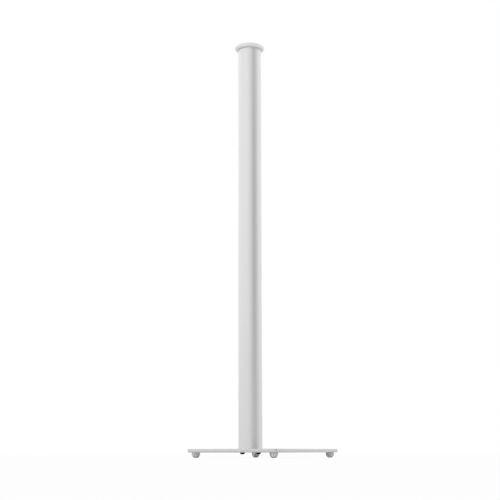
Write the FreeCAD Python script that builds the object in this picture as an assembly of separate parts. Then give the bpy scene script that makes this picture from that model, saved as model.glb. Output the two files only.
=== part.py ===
import FreeCAD, Part
import math
import os

# A floor stand for a small loudspeaker.
# Millimetres, +Z up, -Y is the front. The origin is on the floor, under the middle of the base plate.
# The extruded column stands behind the middle of the plate. It hides the loudspeaker's cable, and it has
# two screw ports, one in front of the other, that take the screws of the base plate and of the cap.

# Overall
total_height = 1000.0               # floor to the top of the pad

# Column extrusion
column_diameter = 56.0
column_wall = 2.5
column_setback = 37.5               # column axis behind the middle of the plate
column_end_chamfer = 0.4
port_depth = 6.0                    # screw port axis inside the column's surface
port_wall = 1.2
port_fillet = 0.8                   # where a port meets the inside of the tube

# Base plate
plate_width = 290.0                 # left to right
plate_depth = 235.0                 # front to rear
plate_thickness = 8.0
plate_corner_radius = 6.0
plate_edge_round = 1.0

# Screws and threads: M6 for the stand, M5 for the loudspeaker
thread_diameter = 6.0
speaker_thread_diameter = 5.0
speaker_hole_spacing = 44.0
screw_end_chamfer = 0.8
socket_across_flats = 4.0
socket_depth = 2.0
button_head_diameter = 10.5
button_head_height = 3.3
button_head_rim = 0.6               # straight rim next to the bearing face
button_head_flat_diameter = 5.4     # flat ring around the socket
base_screw_length = 30.0            # below the head
washer_diameter = 12.0
washer_bore = 6.4
washer_thickness = 0.8
flat_head_diameter = 12.0
flat_head_sink = 0.3                # top of the head below the top of the cap
cap_screw_length = 20.0             # with the head

# Cap
cap_overhang = 8.0                  # all round, past the column
cap_thickness = 10.0                # its rim is a full half round
spigot_length = 6.0
spigot_chamfer = 0.6

# Pad
pad_setback = 2.5                   # from the edge of the cap's flat top
pad_thickness = 1.0
pad_hole_margin = 1.0               # pad holes larger, all round, than what they clear
pad_edge_chamfer = 0.3

# Feet
foot_diameter = 19.0
foot_height = 12.0
foot_contact_diameter = 7.0         # flat patch on the floor
foot_rim_round = 0.5
foot_inset = 15.0                   # foot axis to each side of the plate
stud_grip = 6.0                     # thread inside the plate
stud_tap_run_out = 0.5              # free hole above the end of the stud
stud_cover = 3.5                    # soft foot under the flange of the stud
stud_flange_diameter = 11.0
stud_flange_thickness = 1.5

# Cable grommets
base_cable_hole_diameter = 20.0
base_grommet_bore = 14.0
base_lip_diameter = 25.0
cap_cable_hole_diameter = 16.0
cap_grommet_bore = 11.0
cap_lip_diameter = 20.0
lip_thickness = 1.2

# Clearances, all on the radius
screw_clearance = 0.3
thread_fit = 0.05
countersink_clearance = 0.1
spigot_clearance = 0.2
grommet_fit = 0.05

# Levels above the floor
plate_bottom = foot_height
plate_top = plate_bottom + plate_thickness
head_seat = plate_bottom - washer_thickness
cap_top = total_height - pad_thickness
cap_bottom = cap_top - cap_thickness
spigot_bottom = cap_bottom - spigot_length

# Radii and places that several pieces share
column_radius = column_diameter / 2
cap_radius = column_radius + cap_overhang
cap_rim_radius = cap_thickness / 2
cap_flat_radius = cap_radius - cap_rim_radius
port_offset = column_radius - port_depth
thread_radius = thread_diameter / 2
threaded_hole_radius = thread_radius + thread_fit
clearance_hole_radius = thread_radius + screw_clearance
port_radius = threaded_hole_radius + port_wall
column_centre = FreeCAD.Vector(0, column_setback, 0)
port_centres = {
    "front": column_centre - FreeCAD.Vector(0, port_offset, 0),
    "rear": column_centre + FreeCAD.Vector(0, port_offset, 0),
}
speaker_hole_centres = [
    column_centre + FreeCAD.Vector(side * speaker_hole_spacing / 2, 0, 0) for side in (-1, 1)
]
foot_side = plate_width / 2 - foot_inset
foot_front = plate_depth / 2 - foot_inset
foot_centres = {
    "front_left": FreeCAD.Vector(-foot_side, -foot_front, 0),
    "front_right": FreeCAD.Vector(foot_side, -foot_front, 0),
    "rear_left": FreeCAD.Vector(-foot_side, foot_front, 0),
    "rear_right": FreeCAD.Vector(foot_side, foot_front, 0),
}
up = FreeCAD.Vector(0, 0, 1)


def cylinder(centre, radius, low, high):
    """Upright cylinder on centre between two levels."""
    return Part.makeCylinder(radius, high - low, FreeCAD.Vector(centre.x, centre.y, low))


def turned(centre, outline):
    """Solid turned about the upright axis through centre from a closed outline of
    (radius, height) points. A step with two points, (through, end), is an arc."""
    def place(point):
        return FreeCAD.Vector(centre.x + point[0], centre.y, point[1])

    edges = []
    start = outline[0]
    for step in outline[1:] + [outline[0]]:
        if isinstance(step[0], tuple):
            through, end = step
            edges.append(Part.Arc(place(start), place(through), place(end)).toShape())
        else:
            end = step
            if math.dist(start, end) > 1e-6:
                edges.append(Part.makeLine(place(start), place(end)))
        start = end
    face = Part.Face(Part.Wire(edges))
    return face.revolve(FreeCAD.Vector(centre.x, centre.y, 0), up, 360)


def hexagon(centre, across_flats, low, high):
    """Upright hexagonal prism on centre between two levels."""
    corner_radius = across_flats / math.sqrt(3)
    corners = []
    for number in range(7):
        angle = math.radians(60 * number)
        corner = FreeCAD.Vector(math.cos(angle), math.sin(angle), 0) * corner_radius
        corners.append(centre + corner + up * low)
    return Part.Face(Part.makePolygon(corners)).extrude(up * (high - low))


def column():
    """Round extruded tube with two full-length screw ports in its wall."""
    inner_radius = column_radius - column_wall
    shape = cylinder(column_centre, inner_radius, plate_top, cap_bottom)
    for centre in port_centres.values():
        shape = shape.cut(cylinder(centre, port_radius, plate_top, cap_bottom))
    necks = [
        edge for edge in shape.Edges
        if edge.BoundBox.ZLength > 0.9 * (cap_bottom - plate_top)
        and abs(math.hypot(edge.CenterOfMass.x, edge.CenterOfMass.y - column_setback) - inner_radius) < 0.01
        and abs(edge.CenterOfMass.x) > 0.01
        and abs(edge.CenterOfMass.y - column_setback) > 0.01
    ]
    cavity = shape.makeFillet(port_fillet, necks)
    outside = cylinder(column_centre, column_radius, plate_top, cap_bottom)
    ends = [edge for edge in outside.Edges if edge.BoundBox.ZLength < 0.01]
    shape = outside.makeChamfer(column_end_chamfer, ends).cut(cavity)
    for centre in port_centres.values():
        shape = shape.cut(cylinder(centre, threaded_hole_radius, plate_top, cap_bottom))
    return shape


def base_plate():
    """Rectangular steel plate with round corners and the holes for screws, feet and cable."""
    corner = FreeCAD.Vector(-plate_width / 2, -plate_depth / 2, plate_bottom)
    shape = Part.makeBox(plate_width, plate_depth, plate_thickness, corner)
    corners = [edge for edge in shape.Edges if edge.BoundBox.ZLength > plate_thickness / 2]
    shape = shape.makeFillet(plate_corner_radius, corners)
    rims = [edge for edge in shape.Edges if edge.BoundBox.ZLength < plate_thickness / 2]
    shape = shape.makeFillet(plate_edge_round, rims)
    for centre in port_centres.values():
        shape = shape.cut(cylinder(centre, clearance_hole_radius, plate_bottom, plate_top))
    tapped_top = plate_bottom + stud_grip + stud_tap_run_out
    for centre in foot_centres.values():
        shape = shape.cut(cylinder(centre, threaded_hole_radius, plate_bottom, tapped_top))
    hole_radius = base_cable_hole_diameter / 2
    shape = shape.cut(cylinder(column_centre, hole_radius, plate_bottom, plate_top))
    recess_radius = base_lip_diameter / 2 + grommet_fit
    return shape.cut(cylinder(column_centre, recess_radius, plate_bottom, plate_bottom + lip_thickness))


def grommet(hole_diameter, bore, lip_diameter, low, high):
    """Rubber cable grommet: a sleeve in its hole with a lip at each end."""
    sleeve_radius = hole_diameter / 2 - grommet_fit
    lip_radius = lip_diameter / 2
    return turned(column_centre, [
        (bore / 2, low),
        (lip_radius, low),
        (lip_radius, low + lip_thickness),
        (sleeve_radius, low + lip_thickness),
        (sleeve_radius, high - lip_thickness),
        (lip_radius, high - lip_thickness),
        (lip_radius, high),
        (bore / 2, high),
    ])


def base_grommet():
    """Its lower lip is flush with the underside of the plate, and its upper lip lies on the plate."""
    return grommet(
        base_cable_hole_diameter, base_grommet_bore, base_lip_diameter,
        plate_bottom, plate_top + lip_thickness,
    )


def cap_grommet():
    """Its upper lip is flush with the top of the cap, and its lower lip is under the spigot."""
    return grommet(
        cap_cable_hole_diameter, cap_grommet_bore, cap_lip_diameter,
        spigot_bottom - lip_thickness, cap_top,
    )


def base_screw(centre):
    """Button-head screw, up through its washer and the plate into a port of the column."""
    head_radius = button_head_diameter / 2
    flat_radius = button_head_flat_diameter / 2
    head_bottom = head_seat - button_head_height
    rim_bottom = head_seat - button_head_rim
    shank_top = head_seat + base_screw_length
    dome_height = rim_bottom - head_bottom
    dome_width = head_radius - flat_radius
    bulge = math.sqrt(0.5)
    shape = turned(centre, [
        (0, head_bottom),
        (flat_radius, head_bottom),
        ((flat_radius + dome_width * bulge, rim_bottom - dome_height * bulge), (head_radius, rim_bottom)),
        (head_radius, head_seat),
        (thread_radius, head_seat),
        (thread_radius, shank_top - screw_end_chamfer),
        (thread_radius - screw_end_chamfer, shank_top),
        (0, shank_top),
    ])
    return shape.cut(hexagon(centre, socket_across_flats, head_bottom, head_bottom + socket_depth))


def base_washer(centre):
    """Thin plain washer between the plate and the head of a base screw."""
    shape = cylinder(centre, washer_diameter / 2, head_seat, plate_bottom)
    return shape.cut(cylinder(centre, washer_bore / 2, head_seat, plate_bottom))


def cap_screw(centre):
    """Countersunk screw, down through the cap into a port of the column."""
    head_top = cap_top - flat_head_sink
    head_radius = flat_head_diameter / 2
    shank_bottom = head_top - cap_screw_length
    shape = turned(centre, [
        (0, shank_bottom),
        (thread_radius - screw_end_chamfer, shank_bottom),
        (thread_radius, shank_bottom + screw_end_chamfer),
        (thread_radius, head_top - (head_radius - thread_radius)),
        (head_radius, head_top),
        (0, head_top),
    ])
    return shape.cut(hexagon(centre, socket_across_flats, head_top - socket_depth, head_top))


def top_cap():
    """Round cap with a half-round rim, and a spigot that fits between the ports of the column."""
    spigot_radius = port_offset - port_radius - spigot_clearance
    shape = turned(column_centre, [
        (0, spigot_bottom),
        (spigot_radius - spigot_chamfer, spigot_bottom),
        (spigot_radius, spigot_bottom + spigot_chamfer),
        (spigot_radius, cap_bottom),
        (cap_flat_radius, cap_bottom),
        ((cap_radius, cap_bottom + cap_rim_radius), (cap_flat_radius, cap_top)),
        (0, cap_top),
    ])
    shape = shape.cut(cylinder(column_centre, cap_cable_hole_diameter / 2, spigot_bottom, cap_top))
    recess_radius = cap_lip_diameter / 2 + grommet_fit
    shape = shape.cut(cylinder(column_centre, recess_radius, cap_top - lip_thickness, cap_top))
    for centre in speaker_hole_centres:
        shape = shape.cut(cylinder(centre, speaker_thread_diameter / 2, cap_bottom, cap_top))
    mouth_radius = flat_head_diameter / 2 + flat_head_sink + countersink_clearance
    mouth_depth = mouth_radius - clearance_hole_radius
    for centre in port_centres.values():
        shape = shape.cut(cylinder(centre, clearance_hole_radius, cap_bottom, cap_top))
        seat = centre + up * (cap_top - mouth_depth)
        shape = shape.cut(Part.makeCone(clearance_hole_radius, mouth_radius, mouth_depth, seat))
    return shape


def top_pad():
    """Soft ring between the cap and the loudspeaker, over the heads of the cap screws."""
    radius = cap_flat_radius - pad_setback
    hole_radius = cap_lip_diameter / 2 + pad_hole_margin
    shape = turned(column_centre, [
        (hole_radius, cap_top),
        (radius, cap_top),
        (radius, total_height - pad_edge_chamfer),
        (radius - pad_edge_chamfer, total_height),
        (hole_radius, total_height),
    ])
    bolt_hole_radius = speaker_thread_diameter / 2 + pad_hole_margin
    for centre in speaker_hole_centres:
        shape = shape.cut(cylinder(centre, bolt_hole_radius, cap_top, total_height))
    return shape


def foot_stud(centre):
    """Headed M6 stud, moulded into the foot and screwed into the plate."""
    flange_top = stud_cover + stud_flange_thickness
    stud_top = plate_bottom + stud_grip
    return turned(centre, [
        (0, stud_cover),
        (stud_flange_diameter / 2, stud_cover),
        (stud_flange_diameter / 2, flange_top),
        (thread_radius, flange_top),
        (thread_radius, stud_top - screw_end_chamfer),
        (thread_radius - screw_end_chamfer, stud_top),
        (0, stud_top),
    ])


def foot(centre):
    """Clear soft foot: a short round band over a dome with a small flat patch on the floor."""
    radius = foot_diameter / 2
    contact_radius = foot_contact_diameter / 2
    dome_centre = math.sqrt(radius ** 2 - contact_radius ** 2)
    middle = math.radians(-45)
    corner = foot_rim_round * (1 - math.sqrt(0.5))
    shape = turned(centre, [
        (0, 0),
        (contact_radius, 0),
        ((radius * math.cos(middle), dome_centre + radius * math.sin(middle)), (radius, dome_centre)),
        (radius, foot_height - foot_rim_round),
        ((radius - corner, foot_height - corner), (radius - foot_rim_round, foot_height)),
        (0, foot_height),
    ])
    return shape.cut(foot_stud(centre))


def save(name, shape):
    """Write one sub-part, which has to be one valid solid."""
    solid = shape.Solids[0]
    if len(shape.Solids) != 1 or not solid.isValid():
        raise ValueError(name + " is not one valid solid")
    solid.exportStep(os.path.join("parts", name + ".step"))
    print(f"{name}: {solid.Volume / 1000:.2f} cm3")


os.makedirs("parts", exist_ok=True)
save("column", column())
save("base_plate", base_plate())
save("base_grommet", base_grommet())
save("top_cap", top_cap())
save("cap_grommet", cap_grommet())
save("top_pad", top_pad())
for place, centre in port_centres.items():
    save("base_screw_" + place, base_screw(centre))
    save("base_washer_" + place, base_washer(centre))
    save("cap_screw_" + place, cap_screw(centre))
for place, centre in foot_centres.items():
    save("foot_" + place, foot(centre))
    save("foot_stud_" + place, foot_stud(centre))
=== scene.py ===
import math

import bmesh
import bpy
import numpy as np
from mathutils import Matrix, Vector
from mathutils.geometry import tessellate_polygon


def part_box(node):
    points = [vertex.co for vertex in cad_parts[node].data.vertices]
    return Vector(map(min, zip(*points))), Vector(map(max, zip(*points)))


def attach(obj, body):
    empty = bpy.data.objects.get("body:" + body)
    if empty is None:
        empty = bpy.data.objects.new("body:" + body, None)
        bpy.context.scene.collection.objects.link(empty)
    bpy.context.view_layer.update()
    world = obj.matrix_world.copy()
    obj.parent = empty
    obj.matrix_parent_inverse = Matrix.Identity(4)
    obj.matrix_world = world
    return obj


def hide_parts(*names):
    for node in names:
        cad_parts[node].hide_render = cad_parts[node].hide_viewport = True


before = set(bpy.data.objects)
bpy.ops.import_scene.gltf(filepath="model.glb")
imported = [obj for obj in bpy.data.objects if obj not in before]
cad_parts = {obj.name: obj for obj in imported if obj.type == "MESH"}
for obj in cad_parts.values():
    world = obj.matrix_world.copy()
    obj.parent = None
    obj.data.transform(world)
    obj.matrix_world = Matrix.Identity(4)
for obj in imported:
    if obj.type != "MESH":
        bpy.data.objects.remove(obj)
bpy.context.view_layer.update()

# A floor stand for a small loudspeaker: a round satin column with a turned cap, on a thick
# rectangular powder-coated plate with four domed levelling feet. Metres, +Z up, -Y is the front.

MM = 0.001
TURN = 2 * math.pi

# ---------------------------------------------------------------- Sizes

# Levels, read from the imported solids
PLATE_BOTTOM, PLATE_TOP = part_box("base_plate")[0].z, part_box("base_plate")[1].z
COLUMN_BOTTOM, COLUMN_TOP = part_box("column")[0].z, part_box("column")[1].z
SPIGOT_BOTTOM, CAP_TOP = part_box("top_cap")[0].z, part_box("top_cap")[1].z
PAD_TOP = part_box("top_pad")[1].z
CAP_BOTTOM = COLUMN_TOP

# Plate
PLATE_HALF_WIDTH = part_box("base_plate")[1].x
PLATE_HALF_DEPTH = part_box("base_plate")[1].y
PLATE_CORNER_RADIUS = 6 * MM
PLATE_EDGE_ROUND = 1 * MM

# Column extrusion
COLUMN_PLACE = (0.0, 37.5 * MM)
COLUMN_RADIUS = 28 * MM
COLUMN_INSIDE_RADIUS = 25.5 * MM
COLUMN_END_CHAMFER = 0.4 * MM
PORT_OFFSET = 22 * MM                   # screw port axis from the column's axis
PORT_OUTER_RADIUS = 4.25 * MM
PORT_FILLET = 0.8 * MM

# Cap and pad
CAP_RADIUS = COLUMN_RADIUS + 8 * MM
CAP_RIM_RADIUS = (CAP_TOP - CAP_BOTTOM) / 2
CAP_FLAT_RADIUS = CAP_RADIUS - CAP_RIM_RADIUS
SPIGOT_RADIUS = 17.55 * MM
SPIGOT_CHAMFER = 0.6 * MM
PAD_RADIUS = CAP_FLAT_RADIUS - 2.5 * MM
PAD_HOLE_RADIUS = 11 * MM
PAD_BOLT_HOLE_RADIUS = 3.5 * MM
PAD_EDGE = 0.3 * MM
SPEAKER_HOLE_RADIUS = 2.5 * MM
SPEAKER_HOLE_OFFSET = 22 * MM

# M6 screws and threads
THREAD_RADIUS = 3 * MM
THREAD_ROOT_RADIUS = 2.39 * MM
THREAD_PITCH = 1 * MM
THREAD_CORNERS = np.array([0, 1 / 8, 7 / 16, 11 / 16])      # crest, crest, root, root; in pitches
THREAD_TAPER = 0.8 * MM                 # the run-out at each end
THREADED_HOLE_RADIUS = 3.05 * MM
CLEARANCE_HOLE_RADIUS = 3.3 * MM
SOCKET_ACROSS_FLATS = 4 * MM
SOCKET_DEPTH = 2 * MM
SOCKET_CHAMFER = 0.2 * MM
BUTTON_HEAD_RADIUS = 5.25 * MM
BUTTON_FLAT_RADIUS = 2.7 * MM
BUTTON_HEAD_HEIGHT = 3.3 * MM
BUTTON_HEAD_RIM = 0.6 * MM
BASE_SCREW_LENGTH = 30 * MM
WASHER_RADIUS = 6 * MM
WASHER_BORE_RADIUS = 3.2 * MM
WASHER_THICKNESS = 0.8 * MM
WASHER_EDGE = 0.15 * MM
HEAD_SEAT = PLATE_BOTTOM - WASHER_THICKNESS
FLAT_HEAD_RADIUS = 6 * MM
FLAT_HEAD_SINK = 0.3 * MM
CAP_SCREW_LENGTH = 20 * MM
COUNTERSINK_RADIUS = 6.4 * MM

# Feet
FOOT_INSET = 15 * MM
FOOT_SIDE = PLATE_HALF_WIDTH - FOOT_INSET               # foot's axis from the plate's middle,
FOOT_FRONT = PLATE_HALF_DEPTH - FOOT_INSET              # sideways and to the front or rear
FOOT_RADIUS = 9.5 * MM
FOOT_CONTACT_RADIUS = 3.5 * MM
FOOT_RIM_ROUND = 0.5 * MM
STUD_BOTTOM = 3.5 * MM
STUD_FLANGE_TOP = 5 * MM
STUD_FLANGE_RADIUS = 5.5 * MM
STUD_FLANGE_EDGE = 0.2 * MM
STUD_GRIP = 6 * MM
TAPPED_DEPTH = 6.5 * MM

# Cable grommets and their holes
BASE_CABLE_HOLE_RADIUS = 10 * MM
BASE_BORE_RADIUS = 7 * MM
BASE_LIP_RADIUS = 12.5 * MM
CAP_CABLE_HOLE_RADIUS = 8 * MM
CAP_BORE_RADIUS = 5.5 * MM
CAP_LIP_RADIUS = 10 * MM
LIP_THICKNESS = 1.2 * MM
GROMMET_FIT = 0.05 * MM
GROMMET_MOUTH_EDGE = 0.5 * MM           # where the bore meets a lip's flat
LIP_OUTER_EDGE = 0.4 * MM               # on the lip's flat side
LIP_INNER_EDGE = 0.15 * MM              # where the lip meets the plate or the cap

# Fineness of the meshes
ROUND = 144                             # directions around the column, cap, pad and grommets
SMALL_ROUND = 48                        # directions around a screw or a hole; a multiple of 6
FOOT_ROUND = 96
EASE_STEPS = 6                          # points on an eased corner
CORNER_STEPS = 13                       # on a corner of the plate, seen from above
EDGE_STEPS = 7                          # on the plate's rounded edge
BOSS_STEPS = 12                         # on half of a port's boss
FILLET_STEPS = 8                        # on the fillet beside it
INSIDE_STEPS = 30                       # on a quarter of the column's inside
RIM_STEPS = 25                          # on the cap's rim
HEAD_STEPS = 13                         # on the button head's dome
BALL_STEPS = 18                         # on the foot's dome
SHARP_DEGREES = 28                      # edges that turn by more than this stay sharp
WELD_DISTANCE = 0.002 * MM
SLIVER_LENGTH = 0.001 * MM

PORT_PLACES = {
    "front": (COLUMN_PLACE[0], COLUMN_PLACE[1] - PORT_OFFSET),
    "rear": (COLUMN_PLACE[0], COLUMN_PLACE[1] + PORT_OFFSET),
}
SPEAKER_HOLE_PLACES = [
    (COLUMN_PLACE[0] + side * SPEAKER_HOLE_OFFSET, COLUMN_PLACE[1]) for side in (-1, 1)
]
FOOT_PLACES = {
    "front_left": (-FOOT_SIDE, -FOOT_FRONT),
    "front_right": (FOOT_SIDE, -FOOT_FRONT),
    "rear_left": (-FOOT_SIDE, FOOT_FRONT),
    "rear_right": (FOOT_SIDE, FOOT_FRONT),
}

# ---------------------------------------------------------------- Outlines, (n, 2) arrays


def arc(centre, radius, start, end, count):
    """Points at centre + radius × (cos a, sin a), for a from start to end in degrees."""
    a = np.radians(np.linspace(start, end, count))
    return np.column_stack([centre[0] + radius * np.cos(a), centre[1] + radius * np.sin(a)])


def circle(centre, radius, count=SMALL_ROUND):
    """A closed circle: the arc over a whole turn, without its repeated last point."""
    return arc(centre, radius, 0, 360, count + 1)[:-1]


def eased(corners, ease):
    """A path whose inner corners are rounded. Point t of corner P, for t from 0 to 1, is
    P + e (1 - t)² towards the corner before + e t² towards the corner after, e being its ease."""
    corners = np.asarray(corners, float)
    inner = corners[1:-1, None]
    before = corners[:-2, None] - inner
    after = corners[2:, None] - inner
    before = before / np.linalg.norm(before, axis=-1, keepdims=True)
    after = after / np.linalg.norm(after, axis=-1, keepdims=True)
    t = np.linspace(0, 1, EASE_STEPS)[None, :, None]
    e = np.reshape(np.broadcast_to(ease, len(inner)), (-1, 1, 1))
    rounded = inner + e * ((1 - t) ** 2 * before + t ** 2 * after)
    return np.vstack([corners[:1], rounded.reshape(-1, 2), corners[-1:]])


def plate_outline(in_by):
    """The plate's rectangle, inset by in_by: a quarter circle at each corner, all four joined."""
    corner_radius = PLATE_CORNER_RADIUS - in_by
    x = PLATE_HALF_WIDTH - PLATE_CORNER_RADIUS
    y = PLATE_HALF_DEPTH - PLATE_CORNER_RADIUS
    centres = [(x, y), (-x, y), (-x, -y), (x, -y)]
    return np.vstack([
        arc(centre, corner_radius, 90 * number, 90 * number + 90, CORNER_STEPS)
        for number, centre in enumerate(centres)
    ])


def cavity_outline():
    """Inside of the column: the wall's circle, pinched by a port boss at the front and the rear.
    A fillet circle touches both. The law of cosines in the triangle of the three centres gives its
    direction from the column's axis; one quarter is mirrored to make the whole."""
    to_fillet = COLUMN_INSIDE_RADIUS - PORT_FILLET
    boss_to_fillet = PORT_OUTER_RADIUS + PORT_FILLET
    squares = to_fillet ** 2 + PORT_OFFSET ** 2 - boss_to_fillet ** 2
    cosine = squares / (2 * to_fillet * PORT_OFFSET)
    spread = math.degrees(math.acos(cosine))
    fillet = to_fillet * np.array([cosine, math.sin(math.radians(spread))])
    lean = math.degrees(math.atan2(fillet[1], fillet[0] - PORT_OFFSET))
    quarter = np.vstack([
        arc((PORT_OFFSET, 0), PORT_OUTER_RADIUS, 180, lean, BOSS_STEPS),
        arc(fillet, PORT_FILLET, lean + 180, spread + 360, FILLET_STEPS)[1:],
        arc((0, 0), COLUMN_INSIDE_RADIUS, spread, 90, INSIDE_STEPS)[1:],
    ])
    half = np.vstack([quarter, (quarter * (-1, 1))[::-1][1:]])
    whole = np.vstack([half, (half * (1, -1))[::-1][1:-1]])
    return np.column_stack([-whole[:, 1], whole[:, 0]]) + COLUMN_PLACE


# ---------------------------------------------------------------- Skins, (points, faces) pairs


def wall(loops):
    """Quads between neighbouring closed loops of a (k, n, 3) array: point j of loop i is joined
    to point j + 1 of the same loop and to both of loop i + 1."""
    loops = np.asarray(loops, float)
    number = np.arange(loops.shape[0] * loops.shape[1]).reshape(loops.shape[:2])
    beside = np.roll(number, -1, axis=1)
    quads = np.stack([number[:-1], beside[:-1], beside[1:], number[1:]], axis=-1)
    return loops.reshape(-1, 3), quads.reshape(-1, 4).tolist()


def upright(outline, *heights):
    """A wall that carries one outline straight up through the given heights."""
    outline = np.asarray(outline)
    return wall([np.column_stack([outline, np.full(len(outline), z)]) for z in heights])


def turned(place, profile, count=ROUND):
    """A profile of (radius, height) points turned about the upright axis at place. A radius may
    also be an array with one value per direction, as for a hexagon."""
    a = np.arange(count) * TURN / count
    radii = np.stack([np.broadcast_to(radius, count) for radius, _ in profile])
    heights = np.array([[height] for _, height in profile]) + 0 * a
    x = place[0] + radii * np.cos(a)
    y = place[1] + radii * np.sin(a)
    return wall(np.stack([x, y, heights], axis=-1))


def flat(height, outline, *holes):
    """A level face inside an outline and outside the holes, cut into triangles."""
    rings = [np.column_stack([ring, np.full(len(ring), height)]) for ring in (outline, *holes)]
    triangles = tessellate_polygon([[Vector(point) for point in ring] for ring in rings])
    return np.vstack(rings), [list(triangle) for triangle in triangles]


def thread(place, low, high, count=SMALL_ROUND):
    """A right-hand metric thread between two heights. Row u and angle a of the grid lie at height
    low + pitch × (u + a / 360°), on the crest or the root as the part of u after the whole turns
    says. Heights are held between low and high, and the radius tapers to the root at both."""
    crest, root = THREAD_RADIUS, THREAD_ROOT_RADIUS
    turns = np.arange(-2, math.ceil((high - low) / THREAD_PITCH) + 1)     # past both ends
    u = (turns[:, None] + THREAD_CORNERS).ravel()
    radius = np.tile([crest, crest, root, root], len(turns))
    a = np.linspace(0, TURN, count + 1)
    height = np.clip(low + THREAD_PITCH * (u[:, None] + a / TURN), low, high)
    from_end = np.minimum(height - low, high - height)
    taper = root + (crest - root) * np.clip(from_end / THREAD_TAPER, 0, 1)
    radius = np.minimum(radius[:, None], taper)
    x = place[0] + radius * np.cos(a)
    y = place[1] + radius * np.sin(a)
    points = np.stack([x, y, height], axis=-1)
    number = np.arange(points.shape[0] * points.shape[1]).reshape(points.shape[:2])
    quads = np.stack([number[:-1, :-1], number[:-1, 1:], number[1:, 1:], number[1:, :-1]], axis=-1)
    return points.reshape(-1, 3), quads.reshape(-1, 4).tolist()


def hexagon_radii(across_flats, count=SMALL_ROUND):
    """Radius of a hexagon in each direction a: half its width over the cosine of the angle
    between a and the nearest flat."""
    a = np.degrees(np.arange(count) * TURN / count)
    from_flat = a % 60 - 30
    return across_flats / 2 / np.cos(np.radians(from_flat))


# ---------------------------------------------------------------- Pieces


def piece(name, node, body, finish, skins):
    """One closed mesh of welded skins, in place of its solid."""
    points, faces, first = [], [], 0
    for skin_points, skin_faces in skins:
        points.append(skin_points)
        faces += [[corner + first for corner in face] for face in skin_faces]
        first += len(skin_points)
    mesh = bpy.data.meshes.new(name)
    mesh.from_pydata(np.vstack(points), [], faces)
    welded = bmesh.new()
    welded.from_mesh(mesh)
    bmesh.ops.remove_doubles(welded, verts=welded.verts, dist=WELD_DISTANCE)
    bmesh.ops.dissolve_degenerate(welded, edges=welded.edges, dist=SLIVER_LENGTH)
    bmesh.ops.recalc_face_normals(welded, faces=welded.faces)
    welded.to_mesh(mesh)
    welded.free()
    mesh.polygons.foreach_set("use_smooth", np.ones(len(mesh.polygons), bool))
    mesh.set_sharp_from_angle(angle=math.radians(SHARP_DEGREES))
    material, slot = finish
    mesh.materials.append(material)
    made = bpy.data.objects.new(name, mesh)
    bpy.context.scene.collection.objects.link(made)
    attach(made, body)
    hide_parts(node)


def column_skins():
    """Outside wall with its end chamfers, the cavity, the two ports, and both cut ends."""
    chamfered = [
        (COLUMN_RADIUS - COLUMN_END_CHAMFER, COLUMN_BOTTOM),
        (COLUMN_RADIUS, COLUMN_BOTTOM + COLUMN_END_CHAMFER),
        (COLUMN_RADIUS, COLUMN_TOP - COLUMN_END_CHAMFER),
        (COLUMN_RADIUS - COLUMN_END_CHAMFER, COLUMN_TOP),
    ]
    end = circle(COLUMN_PLACE, COLUMN_RADIUS - COLUMN_END_CHAMFER, ROUND)
    cavity = cavity_outline()
    ports = [circle(place, THREADED_HOLE_RADIUS) for place in PORT_PLACES.values()]
    skins = [turned(COLUMN_PLACE, chamfered)]
    skins += [upright(outline, COLUMN_BOTTOM, COLUMN_TOP) for outline in (cavity, *ports)]
    skins += [flat(height, end, cavity, *ports) for height in (COLUMN_BOTTOM, COLUMN_TOP)]
    return skins


def plate_skins():
    """Rounded rectangle with rounded edges: each loop of the edge is the rectangle, inset by what
    the edge's quarter circle gives at its height. Then both faces, and the holes' walls."""
    a = np.radians(np.linspace(0, 90, EDGE_STEPS))
    inset = PLATE_EDGE_ROUND * (1 - np.sin(a))
    rise = PLATE_EDGE_ROUND * (1 - np.cos(a))
    steps = list(zip(inset, PLATE_BOTTOM + rise))
    steps += list(zip(inset[::-1], (PLATE_TOP - rise)[::-1]))
    edge = wall([np.insert(plate_outline(in_by), 2, z, axis=1) for in_by, z in steps])
    face = plate_outline(PLATE_EDGE_ROUND)
    recess_radius = BASE_LIP_RADIUS + GROMMET_FIT
    recess_top = PLATE_BOTTOM + LIP_THICKNESS
    screw_holes = [circle(place, CLEARANCE_HOLE_RADIUS) for place in PORT_PLACES.values()]
    tapped_holes = [circle(place, THREADED_HOLE_RADIUS) for place in FOOT_PLACES.values()]
    recess = circle(COLUMN_PLACE, recess_radius, ROUND)
    cable_hole = circle(COLUMN_PLACE, BASE_CABLE_HOLE_RADIUS, ROUND)
    skins = [edge, flat(PLATE_TOP, face, *screw_holes, cable_hole)]
    skins += [flat(PLATE_BOTTOM, face, *screw_holes, *tapped_holes, recess)]
    skins += [upright(hole, PLATE_BOTTOM, PLATE_TOP) for hole in screw_holes]
    skins += [
        turned(place, [
            (THREADED_HOLE_RADIUS, PLATE_BOTTOM),
            (THREADED_HOLE_RADIUS, PLATE_BOTTOM + TAPPED_DEPTH),
            (0, PLATE_BOTTOM + TAPPED_DEPTH),
        ], SMALL_ROUND)
        for place in FOOT_PLACES.values()
    ]
    skins += [turned(COLUMN_PLACE, [
        (recess_radius, PLATE_BOTTOM),
        (recess_radius, recess_top),
        (BASE_CABLE_HOLE_RADIUS, recess_top),
        (BASE_CABLE_HOLE_RADIUS, PLATE_TOP),
    ])]
    return skins


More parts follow.
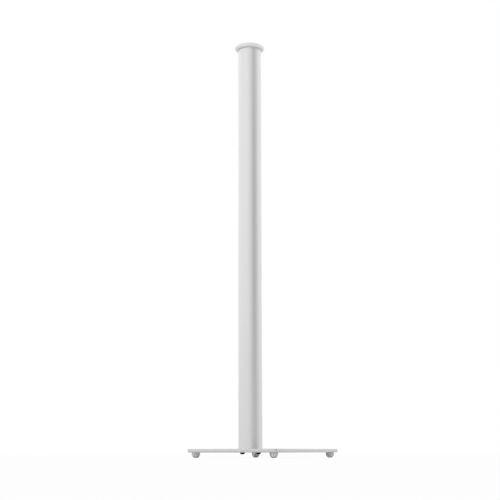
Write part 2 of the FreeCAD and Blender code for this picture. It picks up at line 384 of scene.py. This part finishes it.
def cap_skins():
    """Half-round rim, spigot and cable way turned in one, and the faces with the screw holes."""
    rim_centre = (CAP_FLAT_RADIUS, CAP_BOTTOM + CAP_RIM_RADIUS)
    rim = arc(rim_centre, CAP_RIM_RADIUS, -90, 90, RIM_STEPS)
    spigot = [
        (SPIGOT_RADIUS, CAP_BOTTOM),
        (SPIGOT_RADIUS, SPIGOT_BOTTOM + SPIGOT_CHAMFER),
        (SPIGOT_RADIUS - SPIGOT_CHAMFER, SPIGOT_BOTTOM),
        (CAP_CABLE_HOLE_RADIUS, SPIGOT_BOTTOM),
        (CAP_CABLE_HOLE_RADIUS, CAP_TOP - LIP_THICKNESS),
        (CAP_LIP_RADIUS + GROMMET_FIT, CAP_TOP - LIP_THICKNESS),
        (CAP_LIP_RADIUS + GROMMET_FIT, CAP_TOP),
    ]
    countersink_depth = COUNTERSINK_RADIUS - CLEARANCE_HOLE_RADIUS
    edge = circle(COLUMN_PLACE, CAP_FLAT_RADIUS, ROUND)
    speaker_holes = [circle(place, SPEAKER_HOLE_RADIUS) for place in SPEAKER_HOLE_PLACES]
    mouths = [circle(place, COUNTERSINK_RADIUS) for place in PORT_PLACES.values()]
    screw_holes = [circle(place, CLEARANCE_HOLE_RADIUS) for place in PORT_PLACES.values()]
    recess = circle(COLUMN_PLACE, CAP_LIP_RADIUS + GROMMET_FIT, ROUND)
    foot_of_spigot = circle(COLUMN_PLACE, SPIGOT_RADIUS, ROUND)
    skins = [turned(COLUMN_PLACE, rim), turned(COLUMN_PLACE, spigot)]
    skins += [flat(CAP_TOP, edge, *speaker_holes, *mouths, recess)]
    skins += [flat(CAP_BOTTOM, edge, *speaker_holes, *screw_holes, foot_of_spigot)]
    skins += [upright(hole, CAP_BOTTOM, CAP_TOP) for hole in speaker_holes]
    skins += [
        turned(place, [
            (COUNTERSINK_RADIUS, CAP_TOP),
            (CLEARANCE_HOLE_RADIUS, CAP_TOP - countersink_depth),
            (CLEARANCE_HOLE_RADIUS, CAP_BOTTOM),
        ], SMALL_ROUND)
        for place in PORT_PLACES.values()
    ]
    return skins


def pad_skins():
    """A ring with eased upper edges and two bolt holes."""
    outer = eased([
        (PAD_RADIUS, CAP_TOP),
        (PAD_RADIUS, PAD_TOP),
        (PAD_RADIUS - 2 * PAD_EDGE, PAD_TOP),
    ], PAD_EDGE)
    inner = eased([
        (PAD_HOLE_RADIUS + 2 * PAD_EDGE, PAD_TOP),
        (PAD_HOLE_RADIUS, PAD_TOP),
        (PAD_HOLE_RADIUS, CAP_TOP),
    ], PAD_EDGE)
    holes = [circle(place, PAD_BOLT_HOLE_RADIUS) for place in SPEAKER_HOLE_PLACES]
    top = [circle(COLUMN_PLACE, radius, ROUND) for radius in (outer[-1][0], inner[0][0])]
    under = [circle(COLUMN_PLACE, radius, ROUND) for radius in (PAD_RADIUS, PAD_HOLE_RADIUS)]
    skins = [turned(COLUMN_PLACE, outer), turned(COLUMN_PLACE, inner)]
    skins += [flat(PAD_TOP, *top, *holes), flat(CAP_TOP, *under, *holes)]
    return skins + [upright(hole, CAP_TOP, PAD_TOP) for hole in holes]


def grommet_skins(hole_radius, bore_radius, lip_radius, low, high):
    """A sleeve with a lip at each end, all edges eased, turned from one closed profile."""
    sleeve = hole_radius - GROMMET_FIT
    middle = (low + high) / 2
    lip_eases = [GROMMET_MOUTH_EDGE, LIP_OUTER_EDGE, LIP_INNER_EDGE, LIP_INNER_EDGE]
    profile = eased([
        (bore_radius, middle),
        (bore_radius, low),
        (lip_radius, low),
        (lip_radius, low + LIP_THICKNESS),
        (sleeve, low + LIP_THICKNESS),
        (sleeve, high - LIP_THICKNESS),
        (lip_radius, high - LIP_THICKNESS),
        (lip_radius, high),
        (bore_radius, high),
        (bore_radius, middle),
    ], lip_eases + lip_eases[::-1])
    return [turned(COLUMN_PLACE, profile)]


def base_screw_skins(place):
    """From the socket's floor out over the domed head, up the thread, and closed by its end."""
    hexagon = hexagon_radii(SOCKET_ACROSS_FLATS)
    head_bottom = HEAD_SEAT - BUTTON_HEAD_HEIGHT
    rim_bottom = HEAD_SEAT - BUTTON_HEAD_RIM
    end = HEAD_SEAT + BASE_SCREW_LENGTH
    quarter = np.radians(np.linspace(0, 90, HEAD_STEPS))
    dome = np.column_stack([
        BUTTON_FLAT_RADIUS + (BUTTON_HEAD_RADIUS - BUTTON_FLAT_RADIUS) * np.sin(quarter),
        rim_bottom - (rim_bottom - head_bottom) * np.cos(quarter),
    ])
    head = [
        (0, head_bottom + SOCKET_DEPTH),
        (hexagon, head_bottom + SOCKET_DEPTH),
        (hexagon, head_bottom + SOCKET_CHAMFER),
        (hexagon + SOCKET_CHAMFER, head_bottom),
        *dome,
        (BUTTON_HEAD_RADIUS, HEAD_SEAT),
        (THREAD_ROOT_RADIUS, HEAD_SEAT),
    ]
    tip = [(THREAD_ROOT_RADIUS, end), (0, end)]
    return [
        turned(place, head, SMALL_ROUND),
        thread(place, HEAD_SEAT, end),
        turned(place, tip, SMALL_ROUND),
    ]


def washer_skins(place):
    """A punched ring, its edges eased, turned from one closed profile."""
    middle = (HEAD_SEAT + PLATE_BOTTOM) / 2
    profile = eased([
        (WASHER_BORE_RADIUS, middle),
        (WASHER_BORE_RADIUS, HEAD_SEAT), (WASHER_RADIUS, HEAD_SEAT),
        (WASHER_RADIUS, PLATE_BOTTOM), (WASHER_BORE_RADIUS, PLATE_BOTTOM),
        (WASHER_BORE_RADIUS, middle),
    ], WASHER_EDGE)
    return [turned(place, profile, SMALL_ROUND)]


def cap_screw_skins(place):
    """From the socket's floor out over the countersunk head, down the thread, and closed."""
    hexagon = hexagon_radii(SOCKET_ACROSS_FLATS)
    head_top = CAP_TOP - FLAT_HEAD_SINK
    neck = head_top - (FLAT_HEAD_RADIUS - THREAD_RADIUS)
    end = head_top - CAP_SCREW_LENGTH
    head = [
        (0, head_top - SOCKET_DEPTH),
        (hexagon, head_top - SOCKET_DEPTH),
        (hexagon, head_top - SOCKET_CHAMFER),
        (hexagon + SOCKET_CHAMFER, head_top),
        (FLAT_HEAD_RADIUS, head_top),
        (THREAD_RADIUS, neck),
        (THREAD_ROOT_RADIUS, neck),
    ]
    tip = [(THREAD_ROOT_RADIUS, end), (0, end)]
    return [
        turned(place, head, SMALL_ROUND),
        thread(place, end, neck),
        turned(place, tip, SMALL_ROUND),
    ]


def stud_skins(place):
    """A round flange under a thread."""
    end = PLATE_BOTTOM + STUD_GRIP
    flange = eased([
        (0, STUD_BOTTOM), (STUD_FLANGE_RADIUS, STUD_BOTTOM),
        (STUD_FLANGE_RADIUS, STUD_FLANGE_TOP), (THREAD_ROOT_RADIUS, STUD_FLANGE_TOP),
    ], STUD_FLANGE_EDGE)
    tip = [(THREAD_ROOT_RADIUS, end), (0, end)]
    return [
        turned(place, flange, SMALL_ROUND),
        thread(place, STUD_FLANGE_TOP, end),
        turned(place, tip, SMALL_ROUND),
    ]


def foot_skins(place):
    """A flat patch, a ball's surface up to the band, the band with a rounded rim, and inside it
    the bore and the room of the stud's flange. The ball's centre is as high as makes its circle
    meet the patch's rim on the floor."""
    ball_centre = math.sqrt(FOOT_RADIUS ** 2 - FOOT_CONTACT_RADIUS ** 2)
    contact = math.degrees(math.atan2(-ball_centre, FOOT_CONTACT_RADIUS))
    profile = np.vstack([
        [(0, 0)],
        arc((0, ball_centre), FOOT_RADIUS, contact, 0, BALL_STEPS),
        eased([
            (FOOT_RADIUS, ball_centre), (FOOT_RADIUS, PLATE_BOTTOM), (THREAD_RADIUS, PLATE_BOTTOM),
        ], FOOT_RIM_ROUND)[1:],
        [
            (THREAD_RADIUS, STUD_FLANGE_TOP), (STUD_FLANGE_RADIUS, STUD_FLANGE_TOP),
            (STUD_FLANGE_RADIUS, STUD_BOTTOM), (0, STUD_BOTTOM),
        ],
    ])
    return [turned(place, profile, FOOT_ROUND)]


# ---------------------------------------------------------------- Finishes

WHOLE = (0.0, 1.0)
NOISE_MIDDLE = (0.3, 0.7)               # where nearly all values of a noise pattern lie,
SUM_MIDDLE = (0.7, 1.3)                 # of the sum of two,
FLAKES_MIDDLE = (0.1, 1.4)              # and of the flakes with half of a noise added
FLAKE_SIZE = 0.3 * MM
CLOUD_SHARE = 0.5


def linear(hex_colour):
    """sRGB hex to linear colour: c / 12.92 up to 0.04045, and ((c + 0.055) / 1.055) ^ 2.4 above."""
    c = np.array([int(hex_colour[i:i + 2], 16) for i in (1, 3, 5)]) / 255
    return (*np.where(c <= 0.04045, c / 12.92, ((c + 0.055) / 1.055) ** 2.4), 1.0)


def add(tree, kind, inputs=None, output=None, **settings):
    """Adds one node with its settings, sets or links its inputs, and returns the output asked for,
    or its first. A name is looked up among the sockets in use; a number picks a socket by place."""
    made = tree.nodes.new(kind)
    for key, value in settings.items():
        setattr(made, key, value)
    for key, value in (inputs or {}).items():
        in_use = [socket for socket in made.inputs if socket.enabled and socket.name == key]
        socket = made.inputs[key] if isinstance(key, int) else in_use[0]
        if isinstance(value, bpy.types.NodeSocket):
            tree.links.new(value, socket)
        else:
            socket.default_value = value
    if output:
        return made.outputs[output]
    return next((socket for socket in made.outputs if socket.enabled), None)


def blank(name):
    """A material of one Principled shader: (material, tree, shader)."""
    material = bpy.data.materials.new(name)
    material.use_nodes = True
    return material, material.node_tree, material.node_tree.nodes["Principled BSDF"]


def noise(tree, place, size_mm, detail, **inputs):
    """Noise whose features are size_mm across, the same in each direction."""
    return add(tree, "ShaderNodeTexNoise", {
        "Vector": place, "Scale": 1 / (size_mm * MM), "Detail": detail, **inputs,
    })


def streaks(tree, place, sizes_mm, detail, **inputs):
    """Noise whose features are stretched: sizes_mm along X, Y and Z."""
    stretched = add(tree, "ShaderNodeMapping", {
        "Vector": place, "Scale": tuple(1 / (size * MM) for size in sizes_mm),
    })
    return add(tree, "ShaderNodeTexNoise", {
        "Vector": stretched, "Scale": 1.0, "Detail": detail, **inputs,
    })


def tint(tree, share, dark, light):
    """A colour between two sRGB hex colours."""
    return add(tree, "ShaderNodeMix", {
        "Factor": share, "A": linear(dark), "B": linear(light),
    }, data_type="RGBA")


def ramp(tree, value, from_range, to_range=WHOLE, **settings):
    """Maps one range of a value to another, and holds it at both ends."""
    return add(tree, "ShaderNodeMapRange", {
        "Value": value, "From Min": from_range[0], "From Max": from_range[1],
        "To Min": to_range[0], "To Max": to_range[1],
    }, **settings)


def dress(tree, shader, colour, roughness, height, depth_mm):
    """Links a pattern's colour, roughness and height; depth_mm is how deep the height goes."""
    normal = add(tree, "ShaderNodeBump", {
        "Height": height, "Distance": depth_mm * MM, "Strength": 1.0,
    })
    tree.links.new(colour, shader.inputs["Base Color"])
    tree.links.new(roughness, shader.inputs["Roughness"])
    tree.links.new(normal, shader.inputs["Normal"])


def extruded_anodised_aluminium():
    """Aluminium, extruded, etched and clear anodised: an even satin gloss with faint die lines
    along the column. Real die lines are 0.1 mm wide; they are drawn 0.7 mm wide so that they
    show."""
    material, tree, shader = blank("extruded_satin_anodised_aluminium")
    shader.inputs["Metallic"].default_value = 1.0
    place = add(tree, "ShaderNodeTexCoord", output="Object")
    lines = streaks(tree, place, sizes_mm=(0.7, 0.7, 400), detail=3.0, Roughness=0.65)
    bands = streaks(tree, place, sizes_mm=(9, 9, 900), detail=1.0)
    grain = noise(tree, place, size_mm=0.35, detail=2.0)
    colour = tint(tree, ramp(tree, lines, NOISE_MIDDLE), "#e1e1e2", "#e9e9e9")
    gloss = add(tree, "ShaderNodeMath", {0: lines, 1: bands}, operation="ADD")
    roughness = ramp(tree, gloss, SUM_MIDDLE, (0.31, 0.39))
    height = add(tree, "ShaderNodeMath", {0: lines, 1: grain}, operation="ADD")
    dress(tree, shader, colour, roughness, height, depth_mm=0.006)
    return material


def turned_anodised_aluminium():
    """Aluminium bar, turned on a lathe, fine-blasted and clear anodised: the blasting scatters over
    half of the light, and fine rings around the axis still show, drawn 0.5 mm wide, a little
    brighter and smoother on their tops. The pattern is noise of the distance from the axis and
    of the height alone, so it is the same all the way round."""
    material, tree, shader = blank("turned_satin_anodised_aluminium")
    shader.inputs["Metallic"].default_value = 0.42
    place = add(tree, "ShaderNodeTexCoord", output="Object")
    centred = add(tree, "ShaderNodeMapping", {
        "Vector": place, "Location": (-COLUMN_PLACE[0], -COLUMN_PLACE[1], 0),
    })
    level = add(tree, "ShaderNodeSeparateXYZ", {"Vector": centred}, output="Z")
    across = add(tree, "ShaderNodeVectorMath", {0: centred, 1: (1, 1, 0)}, operation="MULTIPLY")
    radius = add(tree, "ShaderNodeVectorMath", {0: across}, output="Value", operation="LENGTH")
    lathe = add(tree, "ShaderNodeCombineXYZ", {"X": radius, "Y": level})
    rings = noise(tree, lathe, size_mm=0.5, detail=2.0, Roughness=0.6)
    grain = noise(tree, place, size_mm=0.3, detail=2.0)
    colour = tint(tree, ramp(tree, rings, NOISE_MIDDLE), "#e6e6e7", "#eeeeee")
    roughness = ramp(tree, rings, NOISE_MIDDLE, (0.36, 0.28))
    height = add(tree, "ShaderNodeMath", {0: rings, 1: grain}, operation="ADD")
    dress(tree, shader, colour, roughness, height, depth_mm=0.008)
    return material


def silver_powder_coat():
    """Steel plate with a silver powder coat, baked: aluminium flakes under a clear skin with a
    soft orange peel about 1.5 mm across. Flakes are 0.05 mm; they are drawn 0.3 mm to show."""
    material, tree, shader = blank("silver_powder_coated_steel")
    shader.inputs["Metallic"].default_value = 0.9
    place = add(tree, "ShaderNodeTexCoord", output="Object")
    peel = noise(tree, place, size_mm=1.5, detail=2.0)
    flakes = add(tree, "ShaderNodeTexVoronoi", {
        "Vector": place, "Scale": 1 / FLAKE_SIZE,
    }, output="Color")
    flake = add(tree, "ShaderNodeSeparateColor", {"Color": flakes})
    cloud = noise(tree, place, size_mm=40, detail=2.0)
    spread = add(tree, "ShaderNodeMath", {
        0: cloud, 1: CLOUD_SHARE, 2: flake,
    }, operation="MULTIPLY_ADD")
    colour = tint(tree, ramp(tree, spread, FLAKES_MIDDLE), "#c8c8c9", "#e6e6e6")
    roughness = ramp(tree, flake, WHOLE, (0.26, 0.38))
    dress(tree, shader, colour, roughness, peel, depth_mm=0.05)
    return material


def black_oxide_steel():
    """Alloy steel screws, blackened in hot salts: the oxide is nearly black and dull, a little
    glossier in patches where its oil lies."""
    material, tree, shader = blank("black_oxide_screw_steel")
    shader.inputs["Specular IOR Level"].default_value = 0.05
    place = add(tree, "ShaderNodeTexCoord", output="Object")
    patches = noise(tree, place, size_mm=2.5, detail=3.0)
    grain = noise(tree, place, size_mm=0.15, detail=2.0)
    colour = tint(tree, patches, "#0b0b0c", "#131313")
    roughness = ramp(tree, patches, WHOLE, (0.5, 0.7))
    dress(tree, shader, colour, roughness, grain, depth_mm=0.004)
    return material


def moulded_rubber():
    """Rubber, compression moulded in a spark-eroded tool: matt, with a fine even grain drawn
    0.25 mm, and faint clouding from the bloom of its waxes."""
    material, tree, shader = blank("black_moulded_rubber")
    place = add(tree, "ShaderNodeTexCoord", output="Object")
    bloom = noise(tree, place, size_mm=5, detail=3.0)
    grain = noise(tree, place, size_mm=0.25, detail=2.0)
    colour = tint(tree, bloom, "#1b1b1b", "#262626")
    roughness = ramp(tree, bloom, WHOLE, (0.55, 0.75))
    dress(tree, shader, colour, roughness, grain, depth_mm=0.015)
    return material


def clear_polyurethane():
    """Polyurethane, cast around its stud: a third of the light goes straight through, and the rest
    is scattered within 8 mm by the haze, so a foot is evenly pale and a little darker at its rim.
    The dome shows a faint unevenness of the casting."""
    material, tree, shader = blank("clear_cast_polyurethane")
    shader.inputs["Transmission Weight"].default_value = 0.3
    shader.inputs["IOR"].default_value = 1.5
    shader.inputs["Subsurface Weight"].default_value = 1.0
    shader.inputs["Subsurface Radius"].default_value = (1.0, 1.0, 1.0)
    shader.inputs["Subsurface Scale"].default_value = 8 * MM
    place = add(tree, "ShaderNodeTexCoord", output="Object")
    haze = noise(tree, place, size_mm=3, detail=2.0)
    ripple = noise(tree, place, size_mm=2, detail=1.0)
    colour = tint(tree, haze, "#ececec", "#f4f4f4")
    roughness = ramp(tree, haze, WHOLE, (0.35, 0.45))
    dress(tree, shader, colour, roughness, ripple, depth_mm=0.03)
    return material


def zinc_plated_steel():
    """Steel studs, zinc plated and blue passivated: bright, slightly blue, with faint iridescent
    patches and a fine plated grain."""
    material, tree, shader = blank("zinc_plated_stud_steel")
    shader.inputs["Metallic"].default_value = 1.0
    place = add(tree, "ShaderNodeTexCoord", output="Object")
    patches = noise(tree, place, size_mm=3, detail=2.0)
    grain = noise(tree, place, size_mm=0.12, detail=2.0)
    colour = tint(tree, patches, "#c3c9d2", "#d8d7d0")
    roughness = ramp(tree, patches, WHOLE, (0.2, 0.34))
    dress(tree, shader, colour, roughness, grain, depth_mm=0.003)
    return material


COLUMN_FINISH = (extruded_anodised_aluminium(), "satin_anodised_aluminium")
CAP_FINISH = (turned_anodised_aluminium(), "satin_anodised_aluminium")
PLATE_FINISH = (silver_powder_coat(), "silver_powder_coat")
SCREW_FINISH = (black_oxide_steel(), "black_oxide_steel")
FOOT_FINISH = (clear_polyurethane(), "clear_polyurethane")
BLACK_RUBBER_FINISH = (moulded_rubber(), "black_rubber")
STUD_FINISH = (zinc_plated_steel(), "zinc_plated_steel")

# ---------------------------------------------------------------- The stand

piece("extruded_column", "column", "stand", COLUMN_FINISH, column_skins())
piece("steel_base_plate", "base_plate", "stand", PLATE_FINISH, plate_skins())
piece("turned_top_cap", "top_cap", "stand", CAP_FINISH, cap_skins())
piece("rubber_top_pad", "top_pad", "stand", BLACK_RUBBER_FINISH, pad_skins())
piece("plate_cable_grommet", "base_grommet", "stand", BLACK_RUBBER_FINISH, grommet_skins(
    BASE_CABLE_HOLE_RADIUS, BASE_BORE_RADIUS, BASE_LIP_RADIUS,
    PLATE_BOTTOM, PLATE_TOP + LIP_THICKNESS,
))
piece("cap_cable_grommet", "cap_grommet", "stand", BLACK_RUBBER_FINISH, grommet_skins(
    CAP_CABLE_HOLE_RADIUS, CAP_BORE_RADIUS, CAP_LIP_RADIUS,
    SPIGOT_BOTTOM - LIP_THICKNESS, CAP_TOP,
))
SCREW_PARTS = [
    ("button_head_screw", "base_screw", base_screw_skins),
    ("plain_washer", "base_washer", washer_skins),
    ("countersunk_screw", "cap_screw", cap_screw_skins),
]
for where, place in PORT_PLACES.items():
    for name, node, skins in SCREW_PARTS:
        piece(f"{name}_{where}", f"{node}_{where}", "stand", SCREW_FINISH, skins(place))
for where, place in FOOT_PLACES.items():
    body = f"levelling_foot_{where}"
    piece(f"domed_foot_{where}", f"foot_{where}", body, FOOT_FINISH, foot_skins(place))
    piece(f"levelling_stud_{where}", f"foot_stud_{where}", body, STUD_FINISH, stud_skins(place))

# ---------------------------------------------------------------- Camera

LENS_MM = 86.4
SENSOR_MM = 36
CAMERA_AZIMUTH = math.radians(58.32)    # turned from the front towards the left
CAMERA_PITCH = math.radians(9.647)      # looking up
CAMERA_ROLL = math.radians(-0.12)
CAMERA_DISTANCE = 2835 * MM             # from the column's axis, along the floor
CAMERA_HEIGHT = 8.67 * MM

forward_level = Vector((math.sin(CAMERA_AZIMUTH), math.cos(CAMERA_AZIMUTH), 0))
forward = forward_level * math.cos(CAMERA_PITCH) + Vector((0, 0, math.sin(CAMERA_PITCH)))
level_right = Vector((math.cos(CAMERA_AZIMUTH), -math.sin(CAMERA_AZIMUTH), 0))
level_up = level_right.cross(forward)
right = level_right * math.cos(CAMERA_ROLL) + level_up * math.sin(CAMERA_ROLL)
above = level_up * math.cos(CAMERA_ROLL) - level_right * math.sin(CAMERA_ROLL)
camera_data = bpy.data.cameras.new("camera")
camera_data.lens = LENS_MM
camera_data.sensor_width = SENSOR_MM
camera = bpy.data.objects.new("camera", camera_data)
camera.matrix_world = Matrix((
    (right.x, above.x, -forward.x, COLUMN_PLACE[0] - forward_level.x * CAMERA_DISTANCE),
    (right.y, above.y, -forward.y, COLUMN_PLACE[1] - forward_level.y * CAMERA_DISTANCE),
    (right.z, above.z, -forward.z, CAMERA_HEIGHT),
    (0, 0, 0, 1),
))
bpy.context.scene.collection.objects.link(camera)
bpy.context.scene.camera = camera

# ---------------------------------------------------------------- Floor and world

WHITE = (1.0, 1.0, 1.0, 1.0)
FLOOR_HALF = 60.0
FLOOR_PAINT = "#f4f4f4"
FLOOR_GLOW = 0.85                       # share of its own light, so that a light shadow is left
FLOOR_LEVEL = 0.66                      # of the floor, and of the walls of the studio above it,
STUDIO_LEVEL = 1.06                     # as metal and gloss show them; plain white is 1
HORIZON_SHARE = 0.88                    # of that level, at the foot of the walls
HORIZON_TOP = 0.14                      # sine of the angle where the walls reach their full level
OVERHEAD_SHARE = 0.55                   # of that level, straight overhead
OVERHEAD_FROM = 0.45                    # sine of the angle where the walls begin to dim
DIM_SIDE = math.radians(14.2)           # where they are dimmest, from the front towards the left
DIM_DEPTH = 0.6                         # share of the level that is missing there
DIM_NARROWNESS = 5.2


def ray_is(tree, *kinds):
    """1 for rays of any of these kinds, else 0."""
    rays = [add(tree, "ShaderNodeLightPath", output=f"Is {kind} Ray") for kind in kinds]
    found = rays[-1]
    for ray in reversed(rays[:-1]):
        found = add(tree, "ShaderNodeMath", {0: ray, 1: found}, operation="MAXIMUM")
    return found


def shows_studio(tree):
    """1 for the rays that show the studio: from the camera, off metal or gloss and through the
    clear feet. The rest only carry its light."""
    return ray_is(tree, "Camera", "Glossy", "Transmission")


def studio_strength(tree, level):
    """1, plain white, for rays from the camera and through the clear feet, and level for the
    rest."""
    plain = ray_is(tree, "Camera", "Transmission")
    return add(tree, "ShaderNodeMix", {"Factor": plain, "A": level, "B": 1.0})


floor_mesh = bpy.data.meshes.new("studio_floor")
floor_mesh.from_pydata([
    (-FLOOR_HALF, -FLOOR_HALF, 0), (FLOOR_HALF, -FLOOR_HALF, 0),
    (FLOOR_HALF, FLOOR_HALF, 0), (-FLOOR_HALF, FLOOR_HALF, 0),
], [], [(0, 1, 2, 3)])
floor_material = bpy.data.materials.new("matt_white_studio_floor")
floor_material.use_nodes = True
floor_tree = floor_material.node_tree
floor_tree.nodes.clear()
paint = add(floor_tree, "ShaderNodeBsdfDiffuse", {"Color": linear(FLOOR_PAINT)})
glow = add(floor_tree, "ShaderNodeEmission", {
    "Color": WHITE, "Strength": studio_strength(floor_tree, FLOOR_LEVEL),
})
share = add(floor_tree, "ShaderNodeMath", {
    0: shows_studio(floor_tree), 1: FLOOR_GLOW,
}, operation="MULTIPLY")
both = add(floor_tree, "ShaderNodeMixShader", {0: share, 1: paint, 2: glow})
add(floor_tree, "ShaderNodeOutputMaterial", {"Surface": both})
floor_mesh.materials.append(floor_material)
floor = bpy.data.objects.new("studio_floor", floor_mesh)
bpy.context.scene.collection.objects.link(floor)

world = bpy.data.worlds.new("studio")
world.use_nodes = True
bpy.context.scene.world = world
world_tree = world.node_tree
world_tree.nodes.clear()

# Around the stand the level is S (1 - D exp(N (c - 1))), for S, D and N the studio's level and
# the dim side's depth and narrowness, and c the cosine of the angle from the dim side.
direction = add(world_tree, "ShaderNodeTexCoord", output="Generated")
nearness = add(world_tree, "ShaderNodeVectorMath", {
    0: direction, 1: (-math.sin(DIM_SIDE), -math.cos(DIM_SIDE), 0),
}, output="Value", operation="DOT_PRODUCT")
away = add(world_tree, "ShaderNodeMath", {
    0: nearness, 1: DIM_NARROWNESS, 2: -DIM_NARROWNESS,
}, operation="MULTIPLY_ADD")
dip = add(world_tree, "ShaderNodeMath", {0: away}, operation="EXPONENT")
around = add(world_tree, "ShaderNodeMath", {
    0: dip, 1: -DIM_DEPTH * STUDIO_LEVEL, 2: STUDIO_LEVEL,
}, operation="MULTIPLY_ADD")
upwards = add(world_tree, "ShaderNodeSeparateXYZ", {"Vector": direction}, output="Z")
low = ramp(world_tree, upwards, (0.0, HORIZON_TOP), (HORIZON_SHARE, 1.0))
high = ramp(world_tree, upwards, (OVERHEAD_FROM, 1.0), (1.0, OVERHEAD_SHARE),
            interpolation_type="SMOOTHSTEP")
upright_share = add(world_tree, "ShaderNodeMath", {0: low, 1: high}, operation="MULTIPLY")
level = add(world_tree, "ShaderNodeMath", {0: around, 1: upright_share}, operation="MULTIPLY")
light = add(world_tree, "ShaderNodeBackground", {"Color": WHITE, "Strength": 1.0})
backdrop = add(world_tree, "ShaderNodeBackground", {
    "Color": WHITE, "Strength": studio_strength(world_tree, level),
})
shown = add(world_tree, "ShaderNodeMixShader", {
    0: shows_studio(world_tree), 1: light, 2: backdrop,
})
add(world_tree, "ShaderNodeOutputWorld", {"Surface": shown})

bpy.context.scene.view_settings.view_transform = "Standard"
